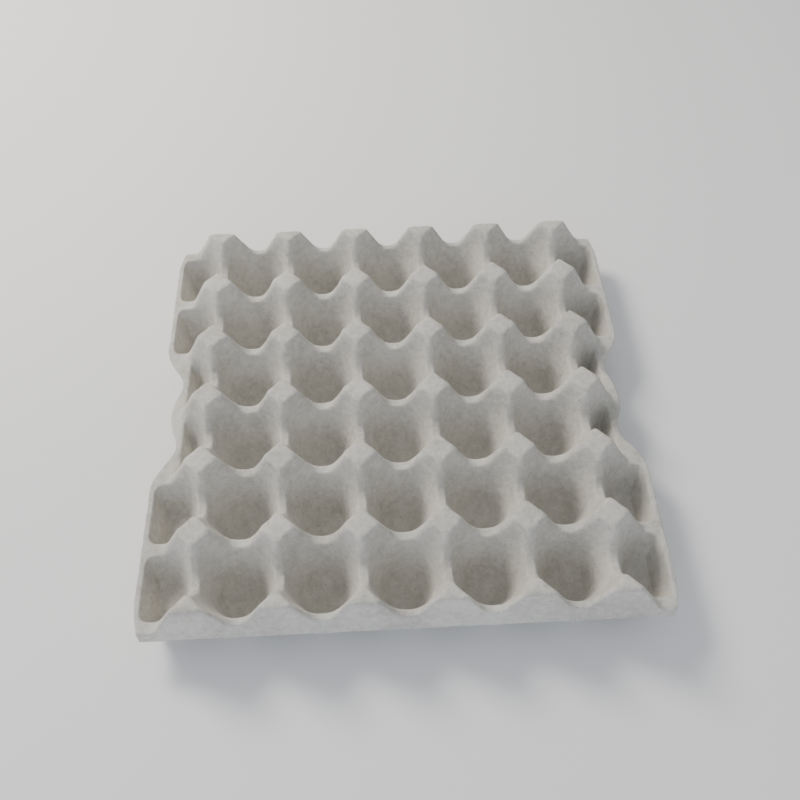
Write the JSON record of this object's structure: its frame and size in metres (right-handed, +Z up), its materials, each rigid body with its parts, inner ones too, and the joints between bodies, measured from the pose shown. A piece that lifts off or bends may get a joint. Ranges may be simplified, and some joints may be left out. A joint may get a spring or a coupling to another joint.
{
  "type": "moulded pulp egg tray",
  "caption": "Shallow square tray of moulded pulp with rows of round egg cups between hollow square posts, skirted ends, and side flanges with finger notches.",
  "frame": {"origin": "middle of the tray, on the surface that its cups stand on", "axes": "+Z up out of the cups, +X along the shorter rows of cups towards the right flange, +Y towards the back skirt"},
  "size_m": [0.2994, 0.288, 0.048],
  "materials": {
    "pulp": "matt, fibrous, grey recycled pulp"
  },
  "bodies": {
    "root": {"tray": "pulp"}
  },
  "joints": []
}
